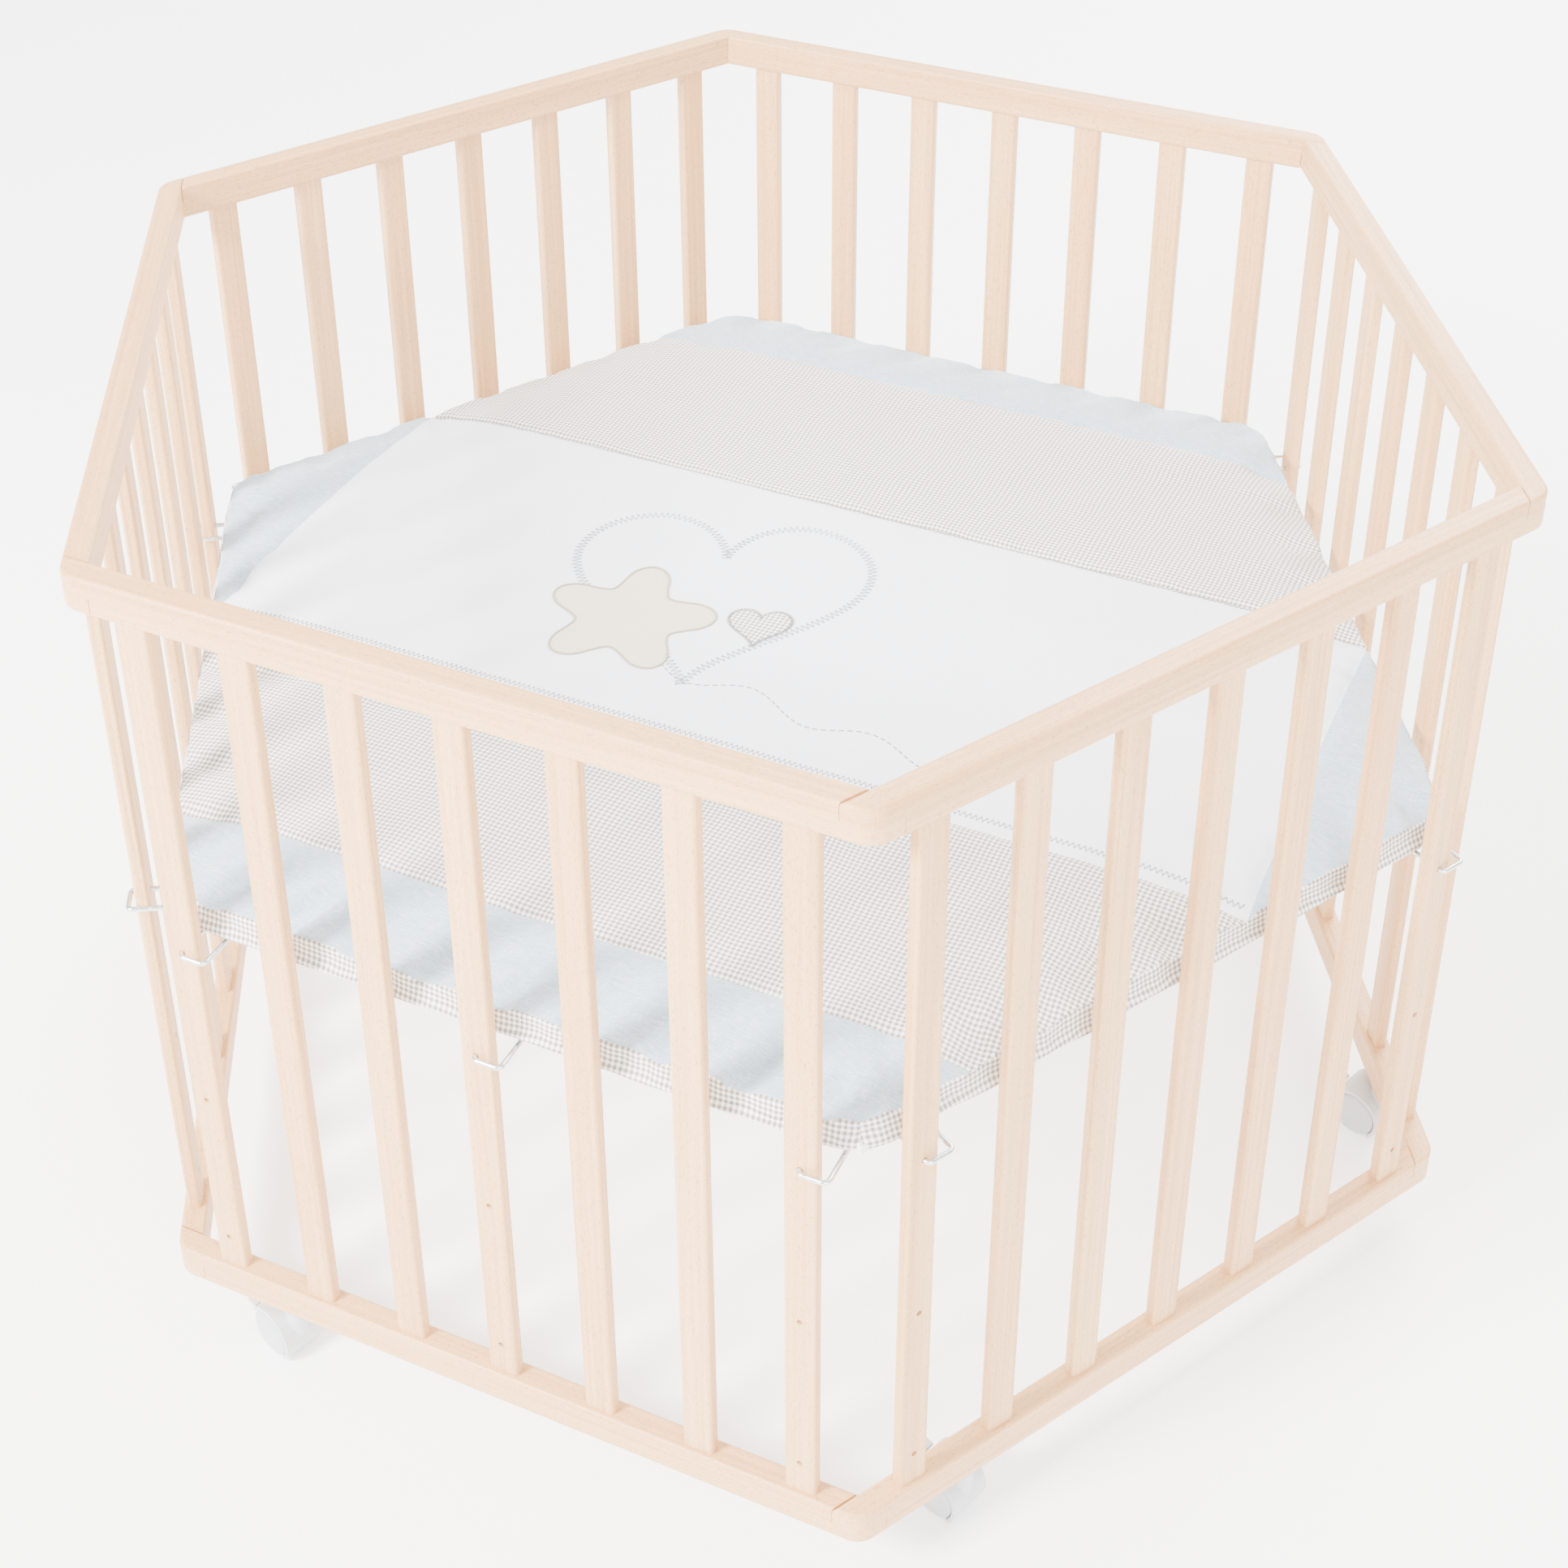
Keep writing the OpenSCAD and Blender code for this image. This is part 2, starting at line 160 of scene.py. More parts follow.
def speckle(tree, where, detail=2.0, lo=0.0, hi=1.0, distortion=0.0):
    """Noise between 0 and 1, stretched so that lo becomes 0 and hi becomes 1."""
    grain = add(tree, "TexNoise", {"Vector": where, "Scale": 1.0, "Detail": detail, "Distortion": distortion})
    return add(
        tree, "MapRange", {"Value": grain.outputs[0], "From Min": lo, "From Max": hi}
    ).outputs[0]


def blend_colours(tree, factor, a, b, mode="MIX"):
    """Colour a where factor is 0 and b where it is 1, or b laid over a in another mode."""
    mixed = add(tree, "Mix", data_type="RGBA", blend_type=mode)
    for socket, value in ((mixed.inputs[0], factor), (mixed.inputs[6], a), (mixed.inputs[7], b)):
        if isinstance(value, bpy.types.NodeSocket):
            tree.links.new(value, socket)
        else:
            socket.default_value = value if isinstance(value, float) else rgba(value)
    return mixed.outputs[2]


def relief(tree, shader, height, depth):
    """Bump of a real depth in metres."""
    bump = add(tree, "Bump", {"Height": height, "Distance": depth, "Strength": 1.0})
    tree.links.new(bump.outputs[0], shader.inputs["Normal"])


def beech(name, look, turn=0.0, upright=False):
    """Steamed beech, planed and sealed with matt lacquer: pale, with fine short flecks along the grain."""
    made, tree, shader = surface(name, Roughness=0.5, IOR=1.5, Coat_Weight=0.12, Coat_Roughness=0.35)

    def along(length, width):
        size = (width, width, length) if upright else (length, width, width)
        return coordinates(tree, turn, [v * MM for v in size])

    # Boards differ from one another and change slowly over their length
    tone = speckle(tree, along(900, 55), 1.0, 0.3, 0.7)
    colour = blend_colours(tree, tone, look.light, look.warm)
    # Growth rings show as soft lines a few millimetres apart
    rings = speckle(tree, along(260, 3.2), 2.0, 0.35, 0.75, 0.4)
    ring_share = add(tree, "Math", {0: rings, 1: look.ring_strength}, operation="MULTIPLY").outputs[0]
    colour = blend_colours(tree, ring_share, colour, look.dark)
    # Ray flecks are dashes about 3 mm long and half a millimetre wide
    flecks = speckle(tree, along(3.4, 0.55), 1.0, 0.6, 0.72)
    fleck_share = add(tree, "Math", {0: flecks, 1: look.fleck_strength}, operation="MULTIPLY").outputs[0]
    colour = blend_colours(tree, fleck_share, colour, look.fleck)
    tree.links.new(colour, shader.inputs["Base Color"])
    gloss = add(tree, "MapRange", {"Value": rings, "To Min": 0.44, "To Max": 0.56})
    tree.links.new(gloss.outputs[0], shader.inputs["Roughness"])
    relief(tree, shader, flecks, -0.03 * MM)
    return made


def coated_board(name):
    """Fibreboard with a white melamine coating: even, faintly textured, low sheen."""
    made, tree, shader = surface(name, Roughness=0.42, Base_Color=rgba(linear("#EDEBE6")))
    relief(tree, shader, speckle(tree, coordinates(tree, 0, (1.6 * MM,) * 3), 3.0), 0.02 * MM)
    return made


def zinc_plate(name, grain):
    """Drawn or turned steel with bright zinc plate: cool, fine lines, softly mirrored."""
    made, tree, shader = surface(name, Metallic=1.0, Roughness=0.26)
    cloud = speckle(tree, coordinates(tree, 0, (grain * MM,) * 3), 3.0, 0.3, 0.7)
    colour = blend_colours(tree, cloud, linear("#C9CCCF"), linear("#E2E5E8"))
    tree.links.new(colour, shader.inputs["Base Color"])
    gloss = add(tree, "MapRange", {"Value": cloud, "To Min": 0.2, "To Max": 0.36})
    tree.links.new(gloss.outputs[0], shader.inputs["Roughness"])
    return made


def machined_brass(name):
    """Machined brass: warm yellow metal with turning marks."""
    made, tree, shader = surface(name, Metallic=1.0, Roughness=0.3)
    marks = speckle(tree, coordinates(tree, 0, (4 * MM, 4 * MM, 0.4 * MM)), 1.0, 0.3, 0.7)
    colour = blend_colours(tree, marks, linear("#C9A254"), linear("#DDBB72"))
    tree.links.new(colour, shader.inputs["Base Color"])
    return made


def moulded_nylon(name, code, roughness):
    """Injection-moulded nylon: milky white, slight grain from the mould, soft highlights."""
    made, tree, shader = surface(name, Roughness=roughness, IOR=1.53, Subsurface_Weight=0.08)
    shader.inputs["Subsurface Radius"].default_value = (2 * MM,) * 3
    cloud = speckle(tree, coordinates(tree, 0, (9 * MM,) * 3), 2.0, 0.3, 0.7)
    base = linear(code)
    tree.links.new(blend_colours(tree, cloud, base, [0.96 * c for c in base]), shader.inputs["Base Color"])
    grit = speckle(tree, coordinates(tree, 0, (0.9 * MM,) * 3), 2.0)
    relief(tree, shader, grit, 0.012 * MM)
    return made


def weave(tree, where, thread):
    """Height of a plain weave: two crossing sets of rounded threads, thread metres apart."""
    axis = add(tree, "SeparateXYZ", {0: where})
    waves = []
    for n in (0, 1):
        turned = add(tree, "Math", {0: axis.outputs[n], 1: math.pi / thread}, operation="MULTIPLY")
        waves.append(add(tree, "Math", {0: turned.outputs[0]}, operation="SINE").outputs[0])
    crossed = add(tree, "Math", {0: waves[0], 1: waves[1]}, operation="MULTIPLY").outputs[0]
    return add(tree, "MapRange", {"Value": crossed, "From Min": -1.0}).outputs[0]


def cloth(name, sheen=0.25):
    return surface(name, Roughness=0.92, IOR=1.45, Sheen_Weight=sheen, Sheen_Roughness=0.5)


def face_plane(tree, turn, wall):
    """Coordinates that lie in the cloth: its X and Y, or along a wall and up it."""
    flat = coordinates(tree, turn)
    if not wall:
        return flat
    axis = add(tree, "SeparateXYZ", {0: flat})
    return add(tree, "CombineXYZ", {0: axis.outputs[0], 1: axis.outputs[2]}).outputs[0]


def percale(name, look):
    """White cotton percale: close plain weave, matt, with a faint cool cast."""
    made, tree, shader = cloth(name)
    where = face_plane(tree, 0, False)
    cloud = speckle(tree, coordinates(tree, 0, (60 * MM,) * 3), 2.0, 0.3, 0.7)
    shade = [0.965 * c for c in look.white]
    tree.links.new(blend_colours(tree, cloud, look.white, shade), shader.inputs["Base Color"])
    # Threads are 0.3 mm apart, drawn at 1.1 mm so that they show
    relief(tree, shader, weave(tree, where, 1.1 * MM), 0.04 * MM)
    return made


def gingham(name, look, turn=0.0, wall=False):
    """Yarn-dyed cotton gingham: white, greige where both dyed sets cross, and half-tone where one does."""
    made, tree, shader = cloth(name)
    where = face_plane(tree, turn, wall)
    # The cloth creeps under its wadding, so the rows wander by a millimetre or two
    drift = add(tree, "TexNoise", {"Vector": where, "Scale": 14.0, "Detail": 1.0})
    pull = add(tree, "VectorMath", {0: drift.outputs["Color"], 1: (0.5, 0.5, 0.5)}, operation="SUBTRACT")
    pull = add(tree, "VectorMath", {0: pull.outputs[0], "Scale": look.check_drift}, operation="SCALE")
    moved = add(tree, "VectorMath", {0: where, 1: pull.outputs[0]}, operation="ADD").outputs[0]
    axis = add(tree, "SeparateXYZ", {0: moved})
    bands = []
    for n in (0, 1):
        steps = add(tree, "Math", {0: axis.outputs[n], 1: look.check_pitch}, operation="DIVIDE")
        part = add(tree, "Math", {0: steps.outputs[0]}, operation="FRACT")
        edge = add(tree, "Math", {0: part.outputs[0], 1: 0.5}, operation="GREATER_THAN")
        bands.append(add(tree, "Math", {0: edge.outputs[0], 1: 0.5}, operation="MULTIPLY").outputs[0])
    dyed = add(tree, "Math", {0: bands[0], 1: bands[1]}, operation="ADD").outputs[0]
    ramp = add(tree, "ValToRGB", {"Fac": dyed})
    ramp.color_ramp.interpolation = "CONSTANT"
    ramp.color_ramp.elements[0].color = rgba(look.gingham_light)
    ramp.color_ramp.elements[1].position = 0.75
    ramp.color_ramp.elements[1].color = rgba(look.gingham_dark)
    middle = ramp.color_ramp.elements.new(0.25)
    middle.color = rgba(look.gingham_mid)
    fibre = speckle(tree, coordinates(tree, turn, (1.3 * MM,) * 3), 3.0, 0.3, 0.7)
    colour = blend_colours(tree, fibre, ramp.outputs[0], [0.93] * 3, "MULTIPLY")
    tree.links.new(colour, shader.inputs["Base Color"])
    relief(tree, shader, weave(tree, where, 1.0 * MM), 0.05 * MM)
    return made


def chambray(name, look):
    """Blue-grey cotton melange: dyed yarn one way and white the other, with slubs in both."""
    made, tree, shader = cloth(name, 0.3)
    across = speckle(tree, coordinates(tree, 0, (9 * MM, 0.7 * MM, 9 * MM)), 2.0, 0.35, 0.7)
    down = speckle(tree, coordinates(tree, 0, (0.7 * MM, 9 * MM, 9 * MM)), 2.0, 0.35, 0.7)
    colour = blend_colours(tree, across, look.melange, look.melange_light)
    share = add(tree, "Math", {0: down, 1: 0.5}, operation="MULTIPLY").outputs[0]
    colour = blend_colours(tree, share, colour, look.melange_dark)
    tree.links.new(colour, shader.inputs["Base Color"])
    relief(tree, shader, weave(tree, face_plane(tree, 0, False), 1.1 * MM), 0.05 * MM)
    return made


def sewing_thread(name, colour):
    """Twisted cotton thread: matt, with a slight change of tone along it."""
    made, tree, shader = cloth(name, 0.35)
    twist = speckle(tree, coordinates(tree, 0, (1.2 * MM,) * 3), 2.0, 0.3, 0.7)
    dark = [0.8 * c for c in colour]
    tree.links.new(blend_colours(tree, twist, colour, dark), shader.inputs["Base Color"])
    relief(tree, shader, twist, 0.08 * MM)
    return made


def brushed_cotton(name, colour):
    """Brushed cotton for the sewn-on shape: soft, faintly mottled nap."""
    made, tree, shader = cloth(name, 0.4)
    nap = speckle(tree, coordinates(tree, 0, (2.4 * MM,) * 3), 4.0, 0.3, 0.7)
    dark = [0.93 * c for c in colour]
    tree.links.new(blend_colours(tree, nap, colour, dark), shader.inputs["Base Color"])
    relief(tree, shader, nap, 0.1 * MM)
    return made


# ---- Mesh helpers ----


def new_piece(name, vertices, faces, materials):
    """A mesh object made from points and faces, with its materials."""
    mesh = bpy.data.meshes.new(name)
    mesh.from_pydata([tuple(v) for v in vertices], [], faces)
    mesh.update()
    for made in materials:
        mesh.materials.append(made)
    mesh.polygons.foreach_set("use_smooth", [True] * len(mesh.polygons))
    made = bpy.data.objects.new(name, mesh)
    bpy.context.scene.collection.objects.link(made)
    return made


def dress(nodes, *materials):
    """Gives CAD nodes their finish in place of the plain one that they come with."""
    for name in nodes:
        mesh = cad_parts[name].data
        mesh.materials.clear()
        for made in materials:
            mesh.materials.append(made)


def smoothstep(a, b, v):
    t = min(max((v - a) / (b - a), 0.0), 1.0)
    return t * t * (3 - 2 * t)


def heading(degrees):
    return Vector((math.cos(math.radians(degrees)), math.sin(math.radians(degrees)), 0))


# Direction along each side of the liner, and its outward normal
SIDE_FRAMES = [(heading(60 * k), heading(60 * k - 90)) for k in range(SIDES)]


def nearest_side(x, y):
    """The side that a point lies nearest to, how far along that side it is, and how far inside it."""
    reach, best = max((out.x * x + out.y * y, k) for k, (_, out) in enumerate(SIDE_FRAMES))
    along = SIDE_FRAMES[best][0]
    return best, along.x * x + along.y * y, APOTHEM - reach


def wander(a, b, seed):
    """Smooth noise from -1 to 1."""
    return noise.noise(Vector((a, b, seed)))


# ---- The liner ----


def outline_share(x, y):
    """How far out a point lies, 1 at the hexagon's edge, and the scale that rounds that edge's corners."""
    radius = math.hypot(x, y)
    if radius < 1e-6:
        return 0.0, 1.0
    _, _, inside = nearest_side(x, y)
    straight = radius * APOTHEM / (APOTHEM - inside)
    both = math.exp(-straight / CORNER_SOFT) + math.exp(-CORNER_R / CORNER_SOFT)
    rounded = -CORNER_SOFT * math.log(both)
    return radius / straight, rounded / straight


def liner_cage(cells, top_z):
    """Quads of the liner, open below: a top of three rhombs, a border and a hem.

    Returns the points, the faces, each face's part, and the points that the filling can't lift.
    """
    reach = APOTHEM * 2 / math.sqrt(3)
    column, row_step = reach / cells / 2, reach / cells * math.sqrt(3) / 2
    points, faces, parts, held = [], [], [], set()
    index = {}

    def corner(x, y):
        key = (round(x / column), round(y / row_step))
        if key not in index:
            share, scale = outline_share(x, y)
            blend = 1 + (scale - 1) * share**6
            index[key] = len(points)
            points.append(Vector((x * blend, y * blend, top_z)))
        return index[key]

    for sector in (0, 2, 4):
        u = heading(60 * sector) * reach / cells
        v = heading(60 * (sector + 2)) * reach / cells
        for i in range(cells):
            for j in range(cells):
                quad = [u * (i + a) + v * (j + b) for a, b in ((0, 0), (1, 0), (1, 1), (0, 1))]
                faces.append([corner(p.x, p.y) for p in quad])
                parts.append("top")

    rim = []
    for k in range(SIDES):
        a, b = heading(60 * k) * reach, heading(60 * (k + 1)) * reach
        rim += [corner(*a.lerp(b, n / cells).xy) for n in range(cells)]

    # The border bulges a little, turns under at the hem and comes back to the board's edge
    height = top_z - LINER_LO.z
    last = rim
    for inset, depth in BORDER_PROFILE:
        row = []
        for n in rim:
            p = points[n]
            out = Vector((p.x, p.y, 0)).normalized()
            row.append(len(points))
            points.append(Vector((p.x, p.y, top_z - depth * height)) - out * inset * MM)
            if depth >= 0.88:
                held.add(row[-1])
        hem = inset > 1
        for n in range(len(rim)):
            m = (n + 1) % len(rim)
            faces.append([last[n], row[n], row[m], last[m]])
            parts.append("hem" if hem else "border")
        last = row
    row = []
    for n in last:
        row.append(len(points))
        points.append(Vector((points[n].x, points[n].y, LINER_LO.z + UNDER_RISE)))
        held.update((n, row[-1]))
    for n in range(len(rim)):
        m = (n + 1) % len(rim)
        faces.append([last[n], row[n], row[m], last[m]])
        parts.append("hem")
    return points, faces, parts, held


def close_below(mesh):
    """Fills the underside with one flat face over the boards."""
    work = bmesh.new()
    work.from_mesh(mesh)
    rim = [e for e in work.edges if e.is_boundary]
    made = bmesh.ops.edgeloop_fill(work, edges=rim)["faces"]
    if len(made) != 1:
        raise RuntimeError(f"the liner's underside closed in {len(made)} faces from {len(rim)} edges")
    made[0].material_index = BORDER
    if made[0].normal.z > 0:
        made[0].normal_flip()
    work.to_mesh(mesh)
    work.free()


def inflate(piece, held, limit):
    """Fills the cover: pressure lifts it between the held points, and no point moves further than limit."""
    rest = [v.co.copy() for v in piece.data.vertices]
    group = piece.vertex_groups.new(name="held")
    group.add(sorted(held), 1.0, "REPLACE")
    cloth_mod = piece.modifiers.new("filling", "CLOTH")
    setup = cloth_mod.settings
    setup.quality = 5
    setup.mass = 0.25
    setup.tension_stiffness = setup.compression_stiffness = 12
    setup.shear_stiffness = 4
    setup.bending_stiffness = 0.4
    setup.vertex_group_mass = "held"
    setup.use_pressure = True
    setup.uniform_pressure_force = 4
    setup.effector_weights.gravity = 0
    # The cover is cut a little larger than the board, so it puckers where it is sewn
    setup.shrink_min = -0.025
    cloth_mod.collision_settings.use_collision = False
    cloth_mod.point_cache.frame_start = 1
    cloth_mod.point_cache.frame_end = SIM_FRAMES
    scene = bpy.context.scene
    for number in range(1, SIM_FRAMES + 1):
        scene.frame_set(number)
    filled = piece.evaluated_get(bpy.context.evaluated_depsgraph_get()).to_mesh()
    moved = [v.co.copy() for v in filled.vertices]
    piece.evaluated_get(bpy.context.evaluated_depsgraph_get()).to_mesh_clear()
    piece.modifiers.remove(cloth_mod)
    scene.frame_set(1)
    for vertex, a, b in zip(piece.data.vertices, rest, moved):
        step = b - a
        length = step.length
        if length > 1e-9:
            vertex.co = a + step * (limit * math.tanh(length / limit) / length)


def seam_lines(look):
    """The top's seams, as functions of a point: its distance from the seam, and how far along it lies."""
    band, end, strip = look.band_half, look.band_end, look.strip_from
    return [
        lambda x, y: (abs(abs(y) - band), x),
        lambda x, y: (abs(abs(x) - end) if abs(y) < band else 1.0, y),
        lambda x, y: (abs(abs(y) - strip), x),
    ]


def fold_depth(x, y, look):
    """How far the top sinks in soft folds that start at the border and run inwards at a slant."""
    k, along, inside = nearest_side(x, y)
    slanted = along - 0.45 * inside + 9 * MM * wander(along * 9, inside * 4, 3.0 + k)
    wave = 0.5 + 0.5 * math.cos(2 * math.pi * slanted / look.fold_pitch)
    lobe = smoothstep(0.52, 1.0, wave)
    reach = look.fold_reach * (0.8 + 0.7 * wander(along * 14, 0.0, 8.0 + k))
    fade = 1 - smoothstep(0.15 * reach, max(reach, 20 * MM), inside)
    lift = smoothstep(-2 * MM, 10 * MM, inside)
    return look.fold_depth * FOLD_SHARES[k] * lobe * fade * (0.35 + 0.65 * lift)


def shape_cover(mesh, look):
    """Sews the inflated cover: folds, seams, puckers along them and a gathered border."""
    seams = seam_lines(look)
    top_z = LINER_HI.z
    low_z = LINER_LO.z
    for vertex in mesh.vertices:
        x, y, z = vertex.co
        k, along, inside = nearest_side(x, y)
        height = (z - low_z) / (top_z - low_z)
        upper = smoothstep(0.45, 0.95, height)
        if z > low_z + UNDER_RISE + 3 * MM:
            drop = fold_depth(x, y, look) * upper
            for seam in seams:
                away, where = seam(x, y)
                if away < 40 * MM and inside > 0:
                    drop += look.seam_depth * math.exp(-((away / SEAM_HALF) ** 2)) * upper
                    pucker = wander(where * 62, away * 20, 17.0) * math.exp(-away / PUCKER_REACH)
                    drop += PUCKER_DEPTH * pucker * upper
            drop += WADDING_DEPTH * wander(x * 11, y * 11, 31.0) * upper * smoothstep(0, 30 * MM, inside)
            vertex.co.z -= drop
        if inside < GATHER_REACH:
            out = SIDE_FRAMES[k][1]
            gather = wander(along * 48, height * 0.8, 41.0 + k)
            gather += 0.5 * wander(along * 110, height * 1.5, 51.0 + k)
            free = smoothstep(0.02, 0.3, height) * (1 - 0.7 * smoothstep(0.8, 1.0, height))
            slack = GATHER_DEPTH * gather * free
            vertex.co -= out * (slack + DRAWN_IN)
            scallop = max(0.0, 0.35 + wander(along * 21, 0.0, 61.0 + k))
            vertex.co.z += SCALLOP_RISE * scallop * (1 - smoothstep(0.0, 0.6, height))


def keep_inside(mesh, margin):
    """Keeps the cover within margin of the space that the liner may fill."""
    for vertex in mesh.vertices:
        x, y, _ = vertex.co
        k, _, inside = nearest_side(x, y)
        if inside < -margin:
            vertex.co += SIDE_FRAMES[k][1] * (inside + margin)
        radius = math.hypot(vertex.co.x, vertex.co.y)
        if radius > CORNER_R + margin:
            vertex.co.x *= (CORNER_R + margin) / radius
            vertex.co.y *= (CORNER_R + margin) / radius
        vertex.co.z = max(vertex.co.z, LINER_LO.z + 0.3 * MM)


def cut_along_seams(mesh, look):
    """Adds edges exactly where the cloths of the top meet."""
    work = bmesh.new()
    work.from_mesh(mesh)
    planes = [((0, s * v, 0), (0, 1, 0)) for v in (look.band_half, look.strip_from) for s in (-1, 1)]
    planes += [((s * look.band_end, 0, 0), (1, 0, 0)) for s in (-1, 1)]
    for place, normal in planes:
        top = [f for f in work.faces if f.material_index == TOP]
        geom = list({v for f in top for v in f.verts}) + list({e for f in top for e in f.edges}) + top
        bmesh.ops.bisect_plane(work, geom=geom, dist=0.2 * MM, plane_co=place, plane_no=normal)
    work.to_mesh(mesh)
    work.free()


def lay_cloths(mesh, look):
    """Gives each face of the top its cloth."""
    for face in mesh.polygons:
        if face.material_index != TOP:
            continue
        x, y = abs(face.center.x), abs(face.center.y)
        if y > look.strip_from:
            face.material_index = BLUE
        elif y > look.band_half:
            face.material_index = CHECK
        elif x > look.band_end:
            face.material_index = BLUE


class Ground:
    """Height of the finished liner under any point, for what is sewn onto it."""

    def __init__(self, piece):
        places = [v.co for v in piece.data.vertices]
        self.tree = BVHTree.FromPolygons(places, [p.vertices[:] for p in piece.data.polygons])

    def at(self, x, y, lift=0.0):
        hit = self.tree.ray_cast(Vector((x, y, LINER_HI.z + 0.1)), Vector((0, 0, -1)))[0]
        if hit is None:
            raise RuntimeError(f"nothing of the liner lies under {x:.3f}, {y:.3f}")
        return Vector((x, y, hit.z + lift))


def tubes(name, runs, radius, material):
    """Threads: one closed round tube along each run of points."""
    sides = 5
    points, faces = [], []
    for run in runs:
        base = len(points)
        for n, p in enumerate(run):
            ahead = run[min(n + 1, len(run) - 1)] - run[max(n - 1, 0)]
            ahead.normalize()
            side = ahead.cross(Vector((0, 0, 1))).normalized()
            up = side.cross(ahead)
            for m in range(sides):
                a = 2 * math.pi * m / sides
                points.append(p + (side * math.cos(a) + up * math.sin(a)) * radius)
        for n in range(len(run) - 1):
            for m in range(sides):
                a, b = base + n * sides + m, base + n * sides + (m + 1) % sides
                faces.append([a, b, b + sides, a + sides])
        faces.append([base + m for m in reversed(range(sides))])
        end = base + (len(run) - 1) * sides
        faces.append([end + m for m in range(sides)])
    made = new_piece(name, points, faces, [material])
    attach(made, "liner")
    return made


def zigzag(path, pitch, width, ground, lift):
    """Points of a zigzag stitch that follows a path of flat points."""
    run, travelled, side = [], 0.0, 1
    for a, b in zip(path, path[1:]):
        step = (b - a).length
        if step < 1e-9:
            continue
        ahead = (b - a) / step
        across = Vector((-ahead.y, ahead.x))
        while travelled < step:
            p = a + ahead * travelled + across * side * width / 2
            run.append(ground.at(p.x, p.y, lift))
            travelled += pitch / 2
            side = -side
        travelled -= step
    return run


def dashes(path, length, gap, ground, lift):
    """Runs of a running stitch along a path of flat points."""
    fine, covered = [], [0.0]
    for a, b in zip(path, path[1:]):
        covered.append(covered[-1] + (b - a).length)

    def at(distance):
        for n in range(len(path) - 1):
            if covered[n + 1] >= distance:
                t = (distance - covered[n]) / max(covered[n + 1] - covered[n], 1e-9)
                return path[n].lerp(path[n + 1], t)
        return path[-1]

    start = 0.0
    while start + length < covered[-1]:
        places = [at(start + length * n / 4) for n in range(5)]
        fine.append([ground.at(p.x, p.y, lift - abs(n - 2) * 0.15 * MM) for n, p in enumerate(places)])
        start += length + gap
    return fine


def heart(width, height, centre, tilt, steps=96):
    """Outline of a heart whose point is down, tilted about its centre."""
    outline = []
    for n in range(steps):
        t = 2 * math.pi * n / steps
        x = 16 * math.sin(t) ** 3 / 32
        y = (13 * math.cos(t) - 5 * math.cos(2 * t) - 2 * math.cos(3 * t) - math.cos(4 * t) + 2.5) / 29
        p = Vector((x * width, y * height))
        p.rotate(Matrix.Rotation(math.radians(tilt), 2))
        outline.append(p + centre)
    return outline


def star(radius, centre, tilt, steps=160, depth=0.21):
    """Outline of a soft five-pointed star."""
    outline = []
    for n in range(steps):
        a = 2 * math.pi * n / steps
        wave = math.cos(5 * a)
        r = radius * (1 - depth + depth * math.copysign(abs(wave) ** 0.85, wave))
        p = Vector((r * math.sin(a), r * math.cos(a)))
        p.rotate(Matrix.Rotation(math.radians(tilt), 2))
        outline.append(p + centre)
    return outline


def sewn_shape(name, outline, centre, material, ground, lift, rings=10):
    """A cloth shape that lies on the liner, with a turned-down edge."""
    points = [ground.at(centre.x, centre.y, lift)]
    faces = []
    count = len(outline)
    for ring in range(1, rings + 1):
        share = ring / rings
        rise = lift * (1.0 if ring < rings else 0.1)
        points += [ground.at(*(centre + (p - centre) * share), rise) for p in outline]
    for n in range(count):
        faces.append([0, 1 + n, 1 + (n + 1) % count])
        for ring in range(rings - 1):
            a, b = 1 + ring * count + n, 1 + ring * count + (n + 1) % count
            faces.append([a, a + count, b + count, b])
    made = new_piece(name, points, faces, [material])
    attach(made, "liner")
    return made


# ---- Settings ----


def colour(name, about, code):
    return FloatVectorProperty(name=name, description=about, default=linear(code), subtype="COLOR")


def length(name, about, metres):
    return FloatProperty(name=name, description=about, default=metres, unit="LENGTH")


def power(name, about, watts):
    return FloatProperty(name=name, description=about, default=watts, unit="POWER")


def angle(name, about, degrees):
    return FloatProperty(name=name, description=about, default=math.radians(degrees), subtype="ANGLE")


class PlaypenStage(bpy.types.PropertyGroup):
    azimuth: angle("Azimuth", "Camera's turn to the right of the front panel", 24.78)
    elevation: angle("Elevation", "How steeply the camera looks down", 30.73)
    roll: angle("Roll", "Camera's roll", -0.2)
    place: FloatVectorProperty(
        name="Place",
        description="Camera's place",
        default=(0.745, -1.61, 1.729),
        subtype="TRANSLATION",
        unit="LENGTH",
    )
    lens: FloatProperty(
        name="Lens", description="Focal length on a 36 mm sensor", default=58.9, subtype="DISTANCE_CAMERA"
    )
    shift: FloatProperty(name="Shift", description="Vertical lens shift", default=-0.25)
    floor: colour("Floor", "Colour of the floor", "#F4F4F3")
    glow: FloatProperty(name="Glow", description="Light that the floor gives, as a lit sweep does", default=1.0)
    sky: FloatProperty(name="Sky", description="Strength of the even light", default=2.7)
    key: power("Key", "Power of the large light", 900.0)
    fill: power("Fill", "Power of the light beside the camera", 220.0)
    back: power("Back", "Power of the light behind the playpen", 480.0)


